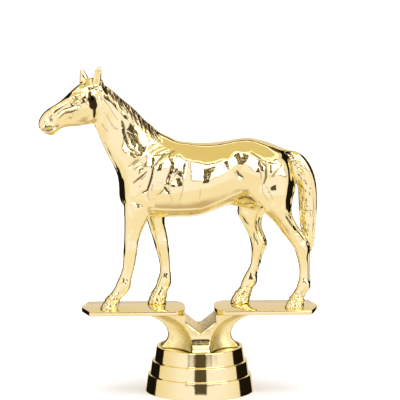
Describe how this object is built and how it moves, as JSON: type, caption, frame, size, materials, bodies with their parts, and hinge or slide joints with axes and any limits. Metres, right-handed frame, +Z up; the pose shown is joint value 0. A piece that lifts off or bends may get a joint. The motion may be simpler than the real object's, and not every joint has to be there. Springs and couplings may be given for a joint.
{
  "type": "figurine trophy",
  "caption": "Standing horse figurine on thin ground plates, with a forked bracket that sits in a stepped round base with a bolt boss inside.",
  "frame": {"origin": "on the surface the base stands on, under the middle of the trophy's whole length and depth", "axes": "+Z up; -X the way the horse's head points; -Y the horse's left side, which faces the viewer"},
  "size_m": [0.1072, 0.0418, 0.1271],
  "materials": {
    "gold_plating": "mirror-bright gold metallised plating on moulded plastic"
  },
  "bodies": {
    "root": {"horse_figure": "gold_plating", "round_base": "gold_plating"}
  },
  "joints": []
}
